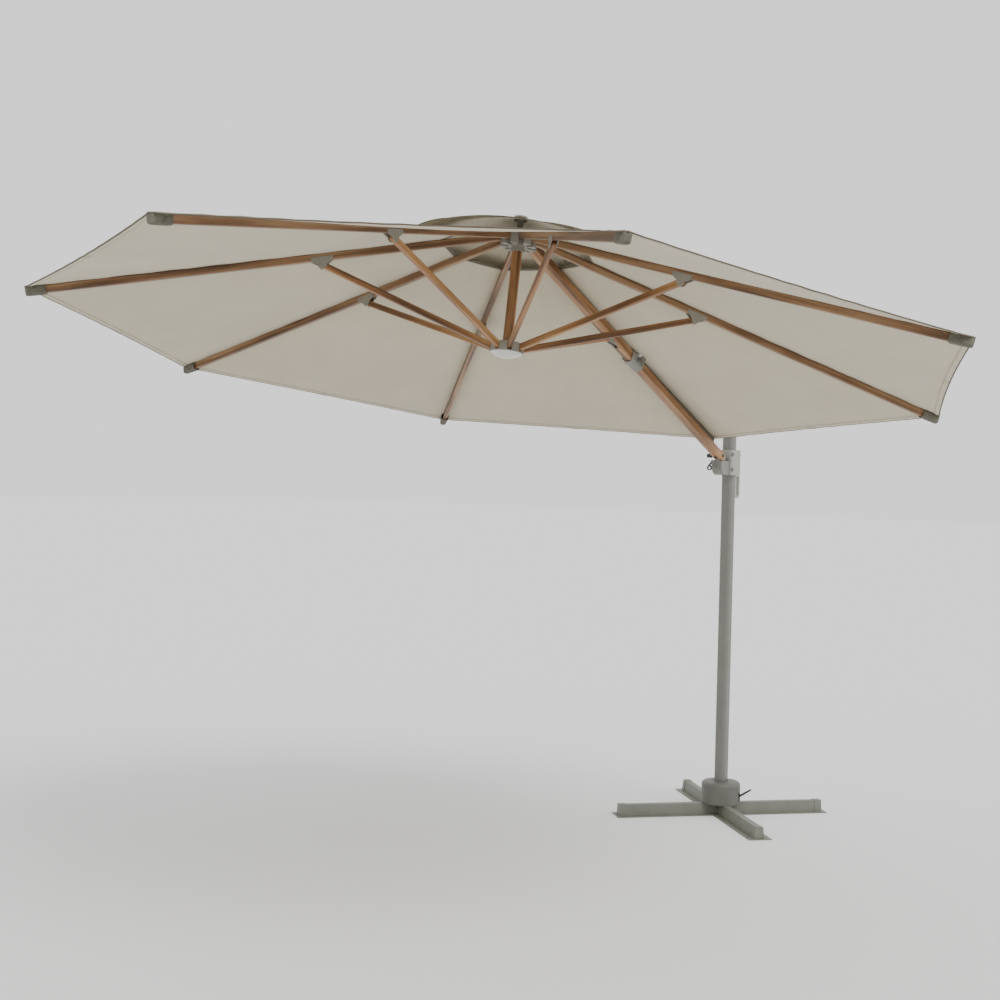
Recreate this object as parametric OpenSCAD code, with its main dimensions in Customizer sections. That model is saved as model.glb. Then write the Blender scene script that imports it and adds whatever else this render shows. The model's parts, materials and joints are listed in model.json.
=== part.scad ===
// Cantilever parasol: an octagonal canopy hung beside a swivelling mast on a cross base.
// Origin: mast axis at floor level. +Z up, the canopy hangs out over -Y.

/* [Base] */
// Distance from the mast axis to the end of each cross bar
leg_reach = 527; // [450:1:600]
// Turn of the cross about the mast axis
base_turn = 46.5; // [30:1:60]
// Width of each cross bar at its foot; the sides lean in towards the top
bar_w = 46; // [40:1:54]
// Height of each cross bar above the floor
bar_h = 54; // [44:1:60]
// Width of the flange that carries the ballast slabs
flange_w = 108; // [90:1:140]
// Radius of the round base cover
drum_r = 93; // [90:1:110]
// Height of the round base cover
drum_h = 106; // [100:1:115]

/* [Mast] */
// Width of the square mast tube
mast_w = 56; // [50:1:60]
// Corner radius of the mast tube
mast_corner = 16; // [10:1:20]
// Distance of the arm and link pivots in front of the mast axis
pivot_out = 110; // [106:1:120]
// Height of the arm pivot with the parasol open
carriage_z = 1728; // [1700:1:1760]

/* [Arm] */
// Length of the arm from its lower pivot to the hub
arm_len = 1831; // [1780:1:1880]
// Distance from the lower pivot to the link pivot, and the link's own length
link_len = 912; // [880:1:940]
// Width of the arm tube
arm_w = 42; // [40:1:50]
// Depth of the arm tube
arm_d = 44; // [42:1:50]

/* [Canopy] */
// Radius from the canopy axis to each corner
canopy_r = 1750; // [1600:10:1850]
// Tilt of the canopy axis, with the mast side lower
canopy_tilt = 8.3; // [5:0.1:10]
// Slope of the ribs below the hub plane
rib_slope = 15.4; // [14:0.1:16]
// Length of each strut, and of each rib from the hub pin to its bracket pin
strut_len = 698; // [650:1:740]
// Slope of the struts when open
strut_slope = 17.75; // [17:0.05:19]
// Radius of the pin circle in both hubs
hub_pin_r = 52; // [52:1:54]
// Radius of the vent opening in the canopy
vent_r = 280; // [240:1:320]
// Radius of the vent cap
cap_r = 440; // [380:1:480]

/* [Hidden] */
$fn = 48;

// Colours
teak = [0.62, 0.42, 0.27];
grey = [0.45, 0.45, 0.42];
pale = [0.70, 0.70, 0.67];
dark = [0.16, 0.16, 0.15];
cloth = [0.75, 0.71, 0.63];

// Clearances: a pin in its bore, a pin pressed in its seat, and two faces side by side
run = 0.05;
seat = 0.02;
side = 0.5;

// Pins
pin_r = 4;
big_pin_r = 6;
pin_reach = 15;

// Ribs and struts
ribs = 8;
rib_w = 20;
rib_d = 28;
strut_w = 18;
strut_d = 24;
bar_corner = 4;
bar_wall = 1.6;
plug_len = 34;
tip_back = 12;
rib_len = (canopy_r - hub_pin_r - tip_back) / cos(rib_slope);
hub_drop = 2 * strut_len * sin(strut_slope);
bracket_x = strut_len * cos(strut_slope - rib_slope);
bracket_z = -strut_len * sin(strut_slope - rib_slope);

// The arm stands in for the eighth rib: its pins hang a little below its centreline
tip_pin_drop = 5;
strut_pin_drop = 16.6;
arm_fall = strut_slope - asin((strut_pin_drop - tip_pin_drop) / strut_len);
arm_slope = canopy_tilt + arm_fall;
arm_corner = 12;
arm_wall = 3;
arm_tube_end = arm_len - 46;
strut_seat = arm_len - strut_len * cos(strut_slope - arm_fall);

// Hub centre, found by going up the arm from its lower pivot
tip_y = -pivot_out - arm_len * cos(arm_slope) - tip_pin_drop * sin(arm_slope);
tip_z = carriage_z + arm_len * sin(arm_slope) - tip_pin_drop * cos(arm_slope);
hub_y = tip_y - hub_pin_r * cos(canopy_tilt);
hub_z = tip_z + hub_pin_r * sin(canopy_tilt);

// Mast head: the link's upper pivot, the same distance above the link pivot as the arm's is below
head_z = carriage_z + 2 * link_len * sin(arm_slope);
mast_wall = 3;
mast_foot_z = 102.5;
mast_top_z = head_z + 34;

// Support link and the sleeve it is pinned to
plate_t = 8;
plate_d = 30;
sleeve_t = 5;
plate_gap = arm_w + 2 * sleeve_t + 2;
sleeve_up = 56;
sleeve_down = 44;

// Carriage
car_x = 42;
car_front = 50;
car_back = 45;
car_low = carriage_z - 91;
car_high = carriage_z + 30;
car_corner = 12;
liner_t = 4;
liner_gap = 0.3;
bolt_r = 3;
bolt_y = [-43, 39];
bolt_z = [car_low + 26, car_high - 23];

// Hubs
hub_r = 68;
hub_low = 34;
hub_high = 22;
lower_low = 18;
lower_high = 18;
finial_low = 78.5;
finial_high = 84;
pole_r = 19;
pole_top = hub_low + 4;
lower_r = 64;

// Canopy
cloth_t = 3;
cloth_lift = rib_d / 2 / cos(rib_slope) + 1.6;
hem_dip = 14;
panel_steps = 4;
cap_apex = 73;
cap_rise = 33;
rings = [vent_r, 500, 750, 1000, 1250, 1500, canopy_r];
cap_rings = [14, 150, 290, cap_r];
arm_side = 0;

// Base
flange_t = 4;
bar_wall_t = 3;
plate_low = bar_h + 0.1;
plate_high = bar_h + 6;
bar_top_w = 30;
ring_low = mast_foot_z;
ring_high = ring_low + 15.5;
ring_r = 62;
spindle_r = 20;
notches = 12;
pedal_pin_x = 70;
pedal_pin_z = 78;
pedal_turn = 14;
bar_end = leg_reach - 17;

// ---------- shared shapes ----------

// Rectangle with true round corners, centred
module round_rect(w, d, r) {
    square([w - 2 * r, d], center = true);
    square([w, d - 2 * r], center = true);
    for (x = [-1, 1], y = [-1, 1])
        translate([x * (w / 2 - r), y * (d / 2 - r)]) circle(r);
}

// Bar along +X from x0 to x1, w wide across Y and d deep across Z
module bar_x(x0, x1, w, d, r) {
    translate([x0, 0, 0]) rotate([90, 0, 90]) linear_extrude(x1 - x0) round_rect(w, d, r);
}

module tube_x(x0, x1, w, d, r, wall) {
    difference() {
        bar_x(x0, x1, w, d, r);
        bar_x(x0 - 1, x1 + 1, w - 2 * wall, d - 2 * wall, r - wall);
    }
}

// Round pin or bore across Y, centred
module across_y(r, len) { rotate([90, 0, 0]) cylinder(r = r, h = len, center = true); }

// Round pin or bore across X, centred
module across_x(r, len) { rotate([0, 90, 0]) cylinder(r = r, h = len, center = true); }

// Upright tube with the mast's outline, grown by g
module mast_outline(g) { round_rect(mast_w + 2 * g, mast_w + 2 * g, mast_corner + g); }

module hub_frame() { translate([0, hub_y, hub_z]) rotate([-canopy_tilt, 0, 0]) children(); }

// In the arm's frame the arm runs from the origin along -Y
module arm_frame() { translate([0, -pivot_out, carriage_z]) rotate([-arm_slope, 0, 0]) children(); }

// Rib i stands i eighths of a turn round from the arm
module rib_frame(i) {
    hub_frame() rotate([0, 0, 90 + i * 360 / ribs]) translate([hub_pin_r, 0, 0])
        rotate([0, rib_slope, 0]) children();
}

module strut_frame(i) {
    hub_frame() rotate([0, 0, 90 + i * 360 / ribs]) translate([hub_pin_r, 0, -hub_drop])
        rotate([0, -strut_slope, 0]) children();
}

module arm_bar(s0, s1, w, d, r) { rotate([0, 0, -90]) bar_x(s0, s1, w, d, r); }

// ---------- base ----------

module bar_profile(g) polygon([[-bar_w / 2 - g, 0], [bar_w / 2 + g, 0], [bar_top_w / 2 + g, bar_h + g],
    [-bar_top_w / 2 - g, bar_h + g]]);

// The bar's profile swept along X from x0 to x1
module bar_run(x0, x1, g) {
    translate([x0, 0, 0]) rotate([90, 0, 90]) linear_extrude(x1 - x0) bar_profile(g);
}

module cross_bar_solid() {
    difference() {
        union() {
            translate([-leg_reach, -flange_w / 2, 0]) cube([2 * leg_reach, flange_w, flange_t]);
            bar_run(-bar_end, bar_end, 0);
        }
        for (s = [-1, 1]) intersection() {
            translate([s * (bar_end + flange_w) / 2 + s, 0, bar_h / 2 + flange_t])
                cube([bar_end - flange_w + 2, bar_w, bar_h], center = true);
            bar_run(-bar_end - 5, bar_end + 5, -bar_wall_t);
        }
    }
}

module cross_bar_long() color(grey) rotate([0, 0, base_turn]) difference() {
    cross_bar_solid();
    translate([-bar_w / 2 - 0.2, -bar_w, bar_h / 2]) cube([bar_w + 0.4, 2 * bar_w, bar_h]);
}

module cross_bar_short() color(grey) rotate([0, 0, base_turn + 90]) difference() {
    cross_bar_solid();
    translate([-bar_w / 2 - 0.2, -bar_w, -1]) cube([bar_w + 0.4, 2 * bar_w, bar_h / 2 + 1]);
    translate([-flange_w / 2 - 0.2, -flange_w, -1]) cube([flange_w + 0.4, 2 * flange_w, flange_t + 1]);
}

// Cap over one bar end, with a screw hole on top
cap_len = 32;
cap_wall = 1.8;
module bar_end_cap() difference() {
    intersection() {
        bar_run(-cap_len, 3, cap_wall);
        translate([-50, -bar_w, flange_t + 0.2]) cube([100, 2 * bar_w, 100]);
    }
    translate([0, 0, -0.1]) bar_run(-cap_len - 1, 0.2, 0.2);
    translate([-20, 0, bar_h]) cylinder(r = 3, h = 10);
}

module bar_end_caps() color(grey) for (k = [0:3])
    rotate([0, 0, base_turn + 90 * k]) translate([bar_end, 0, 0]) bar_end_cap();

// Disc on top of the cross that carries the spindle
module base_plate() color(grey) difference() {
    union() {
        translate([0, 0, plate_low]) cylinder(r = 86, h = plate_high - plate_low);
        for (s = [-1, 1]) rotate([0, 0, pedal_turn]) translate([63, s * 14.5 - 2, plate_high - 1])
            cube([14, 4, pedal_pin_z - plate_high + 9]);
    }
    translate([0, 0, plate_low - 1]) cylinder(r = spindle_r - 6, h = 10);
    rotate([0, 0, pedal_turn]) translate([pedal_pin_x, 0, pedal_pin_z]) across_y(pin_r + seat, 60);
}

// Spindle with the collar that the mast's foot turns on
module swivel_spindle() color(pale) {
    translate([0, 0, plate_high]) cylinder(r = spindle_r, h = 260);
    translate([0, 0, plate_high]) cylinder(r = spindle_r + 12, h = mast_foot_z - 0.5 - plate_high);
    translate([0, 0, plate_low + 0.2]) cylinder(r = spindle_r - 6.05, h = 20);
}

drum_shoulder = 16;
module drum_outline(g) {
    w = drum_r - g;
    h = drum_h - g;
    s = drum_shoulder;
    square([w, h - s - 4]);
    polygon([[0, 0], [w, h - s - 4], [w - s, h - 4], [mast_w * 0.62, h], [0, h]]);
    translate([w - s, h - s - 4]) circle(s);
}

// Round cover that stands on the cross, with a shouldered top and a slot for the pedal
module base_drum() color(grey) translate([0, 0, bar_h + 0.2]) difference() {
    rotate_extrude() difference() {
        drum_outline(0);
        drum_outline(3);
    }
    translate([0, 0, drum_h - 20]) cylinder(r = mast_w * 0.62, h = 40);
    rotate([0, 0, pedal_turn]) translate([60, -16, 12]) cube([40, 32, 40]);
}

module pedal_pin() color(pale) rotate([0, 0, pedal_turn]) translate([pedal_pin_x, 0, pedal_pin_z])
    across_y(pin_r, 33);

// Pedal: a sloping lever; its upright finger tips into a notch of the index ring
pedal_slope = 32;
module foot_pedal() color(dark) rotate([0, 0, pedal_turn]) translate([pedal_pin_x, 0, pedal_pin_z])
difference() {
    union() {
        across_y(9, 24);
        translate([-7, -4.5, 0]) cube([9, 9, ring_high - 2 - pedal_pin_z]);
        rotate([0, -pedal_slope, 0]) {
            translate([0, -9, -5]) cube([54, 18, 9]);
            translate([46, -14, -3]) cube([44, 28, 6]);
            for (x = [50:8:84]) translate([x, -12, 2]) cube([4, 24, 3]);
        }
    }
    across_y(pin_r + run, 60);
}

// ---------- mast ----------

module mast_tube() color(grey) translate([0, 0, mast_foot_z]) linear_extrude(mast_top_z - mast_foot_z - 4)
    difference() {
        mast_outline(0);
        mast_outline(-mast_wall);
    }

module swivel_bush() color(dark) translate([0, 0, mast_foot_z + 2]) difference() {
    cylinder(r = mast_w / 2 - mast_wall - 0.1, h = 200);
    translate([0, 0, -1]) cylinder(r = spindle_r + run, h = 230);
}

// Notched flange on the foot of the mast
module index_ring() color(pale) difference() {
    translate([0, 0, ring_low]) cylinder(r = ring_r, h = ring_high - ring_low);
    translate([0, 0, ring_low - 1]) linear_extrude(20) mast_outline(0.1);
    for (k = [0:notches - 1]) rotate([0, 0, pedal_turn + k * 360 / notches])
        translate([ring_r - 5, -5.5, ring_low - 1]) cube([10, 11, 20]);
}

// Cap on the mast top with a tongue for the link's upper pin
module mast_head() color(pale) difference() {
    union() {
        translate([0, 0, head_z - 60]) linear_extrude(mast_top_z - head_z + 60) mast_outline(5);
        translate([0, -pivot_out, head_z]) across_x(22, plate_gap - 2 * side);
        translate([-plate_gap / 2 + side, -pivot_out, head_z - 22])
            cube([plate_gap - 2 * side, pivot_out - mast_w / 2, 44]);
    }
    translate([0, 0, head_z - 61]) linear_extrude(mast_top_z - head_z + 57) mast_outline(0.1);
    translate([0, -pivot_out, head_z]) across_x(big_pin_r + seat, 100);
}

head_len = plate_gap + 2 * plate_t + 2;
module cross_pin(len) {
    across_x(big_pin_r, len);
    for (s = [-1, 1]) translate([s * (len / 2 + 2), 0, 0]) across_x(big_pin_r + 3, 4);
}

module head_pin() color(dark) translate([0, -pivot_out, head_z]) cross_pin(head_len);

// Two flat plates that hang from the mast head and hold the arm between them
module support_link() color(grey) translate([0, -pivot_out, head_z]) rotate([arm_slope, 0, 0]) difference() {
    union() {
        for (s = [-1, 1]) translate([s * (plate_gap + plate_t) / 2, 0, 0]) {
            across_x(plate_d / 2, plate_t);
            translate([0, -link_len, 0]) across_x(plate_d / 2, plate_t);
            translate([-plate_t / 2, -link_len, -plate_d / 2]) cube([plate_t, link_len, plate_d]);
        }
        for (y = [0.25, 0.5]) translate([0, -link_len * y, 0]) across_x(9, plate_gap);
    }
    for (y = [0, link_len]) translate([0, -y, 0]) across_x(big_pin_r + run, 120);
}

// ---------- carriage ----------

module carriage_half(s) difference() {
    translate([0, (car_back - car_front) / 2, car_low]) linear_extrude(car_high - car_low)
        round_rect(2 * car_x, car_front + car_back, car_corner);
    translate([0, 0, car_low - 1]) linear_extrude(200) mast_outline(liner_gap + liner_t);
    translate([-s * (car_x + 1) - car_x - 1, -100, car_low - 1]) cube([2 * car_x + 2.5, 200, 200]);
    for (y = bolt_y, z = bolt_z) translate([0, y, z]) {
        across_x(bolt_r + seat, 200);
        translate([s * car_x, 0, 0]) across_x(9, 14);
    }
}

module carriage_left() color(pale) carriage_half(-1);

module carriage_right() color(pale) carriage_half(1);

module carriage_liner() color(dark) translate([0, 0, car_low]) linear_extrude(car_high - car_low)
    difference() {
        mast_outline(liner_gap + liner_t);
        mast_outline(liner_gap);
    }

module carriage_bolts() color(dark) for (y = bolt_y, z = bolt_z) translate([0, y, z]) {
    across_x(bolt_r, 2 * car_x - 8);
    for (s = [-1, 1]) translate([s * (car_x - 5), 0, 0]) rotate([0, 90, 0])
        cylinder(r = 6.5, h = 4, center = true, $fn = 6);
}

// Fluted block that cradles the arm's end, with the tongue that carries the arm pin
block_top = carriage_z - arm_d / 2 - 2;
block_out = 80;
block_w = 52;
block_round = 40;
cradle_top = block_top + 13;
tongue_w = 20;
lever_y = -car_front - 50;
lever_z = carriage_z - 28;
lever_x = -block_w / 2 - 9;
lever_w = 8;
tongue_out = pivot_out - car_front;
block_front = -car_front - block_out;

// The block's outline: square at the top and back, with a large round at its lower front
module knuckle_block() intersection() {
    translate([-block_w / 2, block_front, car_low]) cube([block_w, block_out - 0.1, cradle_top - car_low]);
    union() {
        translate([0, block_front + block_round, car_low + block_round]) across_x(block_round, block_w);
        translate([-block_w / 2, block_front, car_low + block_round]) cube([block_w, block_out, 80]);
        translate([-block_w / 2, block_front + block_round, car_low]) cube([block_w, block_out, 100]);
    }
}

// Two ears and the pin between them, at the left of the block
module lever_ears() translate([lever_x, lever_y, lever_z]) {
    across_y(pin_r, 22);
    for (s = [-1, 1]) translate([0, s * (lever_w / 2 + 3.5), 0]) {
        across_y(7.5, 6);
        translate([0, -3, -7.5]) cube([10, 6, 15]);
    }
}

// Room for the arm's two cheeks and its tube, either side of the tongue
module cheek_room() for (s = [-1, 1]) {
    translate([s * (tongue_w / 2 + 8) - 8, -200, block_top]) cube([16, 200 - car_front - 6, 20]);
    translate([s * (arm_w / 2 - 4.2) - 5, -200, block_top]) cube([10, 200 - car_front - 6, 20]);
}

module arm_knuckle() color(grey) difference() {
    union() {
        translate([0, -pivot_out, carriage_z]) across_x(15, tongue_w);
        translate([-tongue_w / 2, -pivot_out, carriage_z - 15]) cube([tongue_w, tongue_out - 0.1, 26]);
        translate([-tongue_w / 2, -pivot_out - 12, block_top - 10]) cube([tongue_w, tongue_out + 11.9, 24]);
        lever_ears();
        knuckle_block();
    }
    cheek_room();
    translate([0, -pivot_out, carriage_z]) across_x(big_pin_r + seat, 100);
    for (x = [-18:6:18]) translate([x - 1, block_front - 1, car_low - 1]) cube([2, 3, 100]);
}

// Arm pin with a grip knob on its left end
knob_x = -48;
module knuckle_pin() color(dark) translate([0, -pivot_out, carriage_z]) {
    translate([-12, 0, 0]) across_x(big_pin_r, 70);
    translate([arm_w / 2 + 1.7, 0, 0]) across_x(8, 2.4);
    translate([knob_x, 0, 0]) across_x(9, 22);
    for (k = [0:5]) translate([knob_x, 0, 0]) rotate([60 * k, 0, 0]) translate([0, 8, 0]) across_x(3, 22);
}

// Closed grip loop that stands a little behind the carriage, on a strap
handle_h = 232;
handle_w = 14;
loop_y = 37;
loop_z = 58;
loop_d = 50;
loop_h = 116;
loop_bar = 10;
module rear_handle() color(pale) translate([-handle_w / 2, car_back + 0.1, car_high - handle_h]) {
    rotate([90, 0, 90]) linear_extrude(handle_w) translate([loop_y, loop_z]) difference() {
        round_rect(loop_d, loop_h, 20);
        round_rect(loop_d - 2 * loop_bar, loop_h - 2 * loop_bar, 12);
    }
    translate([0, 0, loop_h - 24]) cube([handle_w, 9, handle_h - loop_h + 18]);
    translate([0, 0, loop_h - loop_bar]) cube([handle_w, loop_y, loop_bar]);
}

// Bail lever that hangs at the left of the knuckle and locks the carriage
module lock_lever() color(dark) translate([lever_x, lever_y, lever_z]) difference() {
    rotate([90, 0, 0]) linear_extrude(lever_w, center = true) difference() {
        hull() {
            circle(7.5, $fn = 32);
            translate([-18, -30]) circle(12, $fn = 32);
        }
        translate([-18, -30]) circle(7);
        translate([-9, -16]) circle(4.5);
    }
    across_y(pin_r + run, 20);
}

// ---------- arm ----------

module arm_tube(s0, s1) {
    difference() {
        arm_bar(s0, s1, arm_w, arm_d, arm_corner);
        arm_bar(s0 - 1, s1 + 1, arm_w - 2 * arm_wall, arm_d - 2 * arm_wall, arm_corner - arm_wall);
    }
}

// The arm's lower end is rounded about its pivot
module round_end(r) intersection() {
    children();
    union() {
        across_x(r, 200);
        translate([-100, -2000, -100]) cube([200, 2000, 200]);
    }
}

module arm_fork_gap(w, back) translate([-w / 2, -back, -50]) cube([w, 100, 100]);

module arm_lower_tube() color(teak) arm_frame() round_end(arm_d / 2) difference() {
    arm_tube(-arm_d / 2 - 1, link_len - 8);
    across_x(big_pin_r + 1, 100);
    arm_fork_gap(2 * foot_inner, 36);
}

// Cheeks inside the arm's lower end, either side of the knuckle's tongue
foot_inner = tongue_w / 2 + side;
module arm_foot() color(grey) arm_frame() round_end(arm_d / 2 - arm_wall - 0.2) difference() {
    arm_bar(-arm_d, 110, arm_w - 2 * arm_wall - 0.4, arm_d - 2 * arm_wall - 0.4, arm_corner - arm_wall);
    arm_fork_gap(2 * foot_inner, 60);
    across_x(big_pin_r + run, 100);
}

module arm_upper_tube() color(teak) arm_frame() difference() {
    arm_tube(link_len + 8, arm_tube_end);
    translate([-14, -strut_seat - 50, -arm_d]) cube([28, 124, arm_d - 1]);
}

// Grey sleeve that joins the two arm tubes and takes the link's pin
module arm_sleeve() color(grey) arm_frame() difference() {
    union() {
        arm_bar(link_len - sleeve_down, link_len + sleeve_up, arm_w + 2 * sleeve_t, arm_d + 2 * sleeve_t,
            arm_corner + sleeve_t);
        arm_bar(link_len - 7.8, link_len + 7.8, arm_w + 2, arm_d + 2, arm_corner);
    }
    arm_bar(link_len - sleeve_down - 1, link_len - 7.8, arm_w + 0.2, arm_d + 0.2, arm_corner + 0.1);
    arm_bar(link_len + 7.8, link_len + sleeve_up + 1, arm_w + 0.2, arm_d + 0.2, arm_corner + 0.1);
    translate([0, -link_len, 0]) across_x(big_pin_r + seat, 100);
    translate([0, -link_len - sleeve_up - 6, -arm_d]) cylinder(r = 24, h = arm_d);
    translate([0, -link_len + 28, -5]) across_x(bolt_r + seat, 100);
}

module sleeve_pin() color(dark) arm_frame() translate([0, -link_len, 0]) {
    cross_pin(head_len);
    for (s = [-1, 1]) translate([s * (arm_w / 2 + sleeve_t), 28, -5]) {
        translate([-s * 2.4, 0, 0]) across_x(bolt_r, 4.8);
        translate([s * 1.05, 0, 0]) across_x(5, 2);
    }
}

// Plug in the arm's upper end with an eye for the hub pin
module arm_tip() color(grey) arm_frame() difference() {
    union() {
        arm_bar(arm_len - 100, arm_tube_end + 1, arm_w - 2 * arm_wall - 0.4, arm_d - 2 * arm_wall - 0.4,
            arm_corner - arm_wall);
        arm_bar(arm_tube_end + 0.2, arm_tube_end + 7, arm_w, arm_d, arm_corner);
        translate([-rib_w / 2, -arm_len, -tip_pin_drop - 14]) cube([rib_w, arm_len - arm_tube_end - 0.4, 28]);
        translate([0, -arm_len, -tip_pin_drop]) across_x(14, rib_w);
    }
    translate([0, -arm_len, -tip_pin_drop]) across_x(pin_r + run, 60);
}

// Bracket let into the underside of the arm for the arm's own strut, with lips against its faces
module arm_strut_bracket() color(pale) arm_frame() translate([0, -strut_seat, -strut_pin_drop]) {
    difference() {
        union() {
            translate([-13.8, -49.8, -8]) cube([27.6, 123.6, 23]);
            for (s = [-1, 1]) translate([s * 11.8, 0, 0]) {
                across_x(16, 4);
                translate([-2, -30, -13]) cube([4, 60, 20]);
            }
            translate([-18, -30, strut_pin_drop - arm_d / 2 - 4.1]) cube([36, 60, 4]);
        }
        translate([-9.8, -60, -30]) cube([19.6, 150, 43.4]);
    }
    across_x(pin_r, 24);
}

// ---------- canopy frame ----------

// Rib 0 is the arm; its slot in the hub is the same as the others
module slotted_ring(r, slot_w, eye_r, low, high) difference() {
    translate([0, 0, -low]) cylinder(r = r, h = low + high);
    for (k = [0:ribs - 1]) rotate([0, 0, k * 360 / ribs]) {
        translate([hub_pin_r - eye_r - 1.5, -slot_w / 2, -low - 1])
            cube([60, slot_w, low + eye_r + 3]);
        translate([hub_pin_r, 0, 0]) across_y(pin_r + seat, 2 * pin_reach + 0.6);
    }
}

module ring_of_pins() for (k = [0:ribs - 1]) rotate([0, 0, k * 360 / ribs])
    translate([hub_pin_r, 0, 0]) across_y(pin_r, 2 * pin_reach);

module top_hub() color(pale) hub_frame() {
    slotted_ring(hub_r, rib_w + 1.2, rib_d / 2, hub_low, hub_high);
    translate([0, 0, hub_high]) cylinder(r = 12, h = finial_high - hub_high);
    translate([0, 0, hub_high]) cylinder(r = 40, h = 8);
    translate([0, 0, finial_low]) cylinder(r = 26, h = finial_high - finial_low);
}

module hub_pins() color(dark) hub_frame() ring_of_pins();

// Short socket under the hub that the pole's top stands in
module hub_socket() color(grey) hub_frame() difference() {
    translate([0, 0, -hub_low - 18]) cylinder(r = 25, h = 17.9);
    translate([0, 0, -hub_low - 29]) cylinder(r = pole_r + 0.35, h = 30);
}

module lower_hub() color(pale) hub_frame() translate([0, 0, -hub_drop]) mirror([0, 0, 1])
    difference() {
        slotted_ring(lower_r, strut_w + 1.2, strut_d / 2, lower_low, lower_high);
        translate([0, 0, -lower_low - 1]) cylinder(r = pole_r + 0.1, h = lower_low + 2);
    }

module lower_hub_pins() color(dark) hub_frame() translate([0, 0, -hub_drop]) ring_of_pins();

// Domed cap that closes the lower hub
module lower_hub_cap() color("white") hub_frame() translate([0, 0, -hub_drop - lower_high - 0.1])
    rotate_extrude() intersection() {
        translate([0, -20]) square([60, 20]);
        translate([0, 86]) circle(105, $fn = 96);
    }

module centre_pole() color(teak) hub_frame() difference() {
    translate([0, 0, -hub_drop]) cylinder(r = pole_r, h = hub_drop - pole_top);
    translate([0, 0, -hub_drop - 1]) cylinder(r = pole_r - 2.5, h = hub_drop);
}

module rib(i) rib_frame(i) difference() {
    union() {
        tube_x(8, rib_len, rib_w, rib_d, bar_corner, bar_wall);
        bar_x(0, plug_len, rib_w - bar_wall, rib_d - bar_wall, bar_corner);
        across_y(rib_d / 2, rib_w);
    }
    across_y(pin_r + run, 40);
}

// Bracket plate: broad where it is riveted to the rib, narrowing to the eye of the strut's pin
plate_half = 40;
eye_half = 15;
module bracket_plate() rotate([90, 0, 0]) linear_extrude(2, center = true) {
    translate([0, bracket_z]) circle(eye_half);
    polygon([[-plate_half, 1], [plate_half, 1], [plate_half, -rib_d / 2],
        [eye_half, bracket_z], [-eye_half, bracket_z], [-plate_half, -rib_d / 2]]);
}

// Two bracket plates with their pin and rivets, and the plug in the rib's outer end
module rib_fittings(i) rib_frame(i) {
    translate([bracket_x, 0, 0]) {
        for (s = [-1, 1]) translate([0, s * (rib_w / 2 + 1.1), 0]) {
            bracket_plate();
            for (x = [-30, 30]) translate([x, s * 1.5, -5]) across_y(3, 2);
        }
        translate([0, 0, bracket_z]) across_y(pin_r, rib_w + 7);
    }
    bar_x(rib_len - 30, rib_len + 0.1, rib_w - 2 * bar_wall - 0.2, rib_d - 2 * bar_wall - 0.2,
        bar_corner - bar_wall);
    bar_x(rib_len + 0.1, rib_len + 5, rib_w - 2, rib_d - 2, bar_corner);
}

module strut(i) strut_frame(i) difference() {
    union() {
        tube_x(6, strut_len - 6, strut_w, strut_d, bar_corner, bar_wall);
        for (x = [0, strut_len - plug_len])
            bar_x(x, x + plug_len, strut_w - bar_wall, strut_d - bar_wall, bar_corner);
        for (x = [0, strut_len]) translate([x, 0, 0]) across_y(strut_d / 2, strut_w);
    }
    for (x = [0, strut_len]) translate([x, 0, 0]) across_y(pin_r + run, 40);
}

// ---------- cloth ----------

function rib_top(r) = cloth_lift - (r - hub_pin_r) * tan(rib_slope);
arm_rise = arm_d / 2 + tip_pin_drop + sleeve_t + 1.5;
function arm_top(r) = arm_rise / cos(arm_fall) - (r - hub_pin_r) * tan(arm_fall);

// Height of the cloth over rib k at radius r; over the arm it lies on the arm's top
function cloth_z(k, r) = k % ribs == arm_side ? max(rib_top(r), arm_top(r)) : rib_top(r);
cap_fall = (cap_apex - rib_top(cap_r) - cap_rise) / (cap_r - cap_rings[0]);
function cap_z(r) = cap_apex - (r - cap_rings[0]) * cap_fall;
function rib_point(k, r, z) = [r * cos(90 + k * 45), r * sin(90 + k * 45), z];

// Point f of the way from rib k to the next along a ring, drawn in by dip at mid panel
function panel_point(k, f, r, dip, za, zb) =
    (rib_point(k, r, za) * (1 - f) + rib_point(k + 1, r, zb) * f)
    - [cos(112.5 + k * 45), sin(112.5 + k * 45), 0] * dip * 4 * f * (1 - f);

function skin(rows, cap, dip) = [for (i = [0:len(rows) - 1], j = [0:ribs * panel_steps - 1])
    let (k = floor(j / panel_steps), f = j / panel_steps - k, r = rows[i])
    panel_point(k, f, r, i == len(rows) - 1 ? dip : 0,
        cap ? cap_z(r) : cloth_z(k, r), cap ? cap_z(r) : cloth_z(k + 1, r))];

// Faces between ring a and ring b of n points each, numbered from their first points
function ring_faces(a, b, n) = [for (j = [0:n - 1]) [b + j, a + j, a + (j + 1) % n, b + (j + 1) % n]];

// Closed sheet: an underside, the same skin raised by its thickness, and both rims
module sheet(rows, cap, dip) {
    n = ribs * panel_steps;
    m = len(rows);
    under = skin(rows, cap, dip);
    upper = [for (p = under) p + [0, 0, cloth_t]];
    quads = concat(
        [for (i = [0:m - 2]) each ring_faces(i * n, (i + 1) * n, n)],
        [for (i = [0:m - 2]) each ring_faces((m + i + 1) * n, (m + i) * n, n)],
        ring_faces(m * n, 0, n),
        ring_faces((m - 1) * n, (2 * m - 1) * n, n)
    );
    polyhedron(
        points = concat(under, upper),
        faces = [for (q = quads) each [[q[0], q[1], q[2]], [q[0], q[2], q[3]]]]
    );
}

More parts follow.
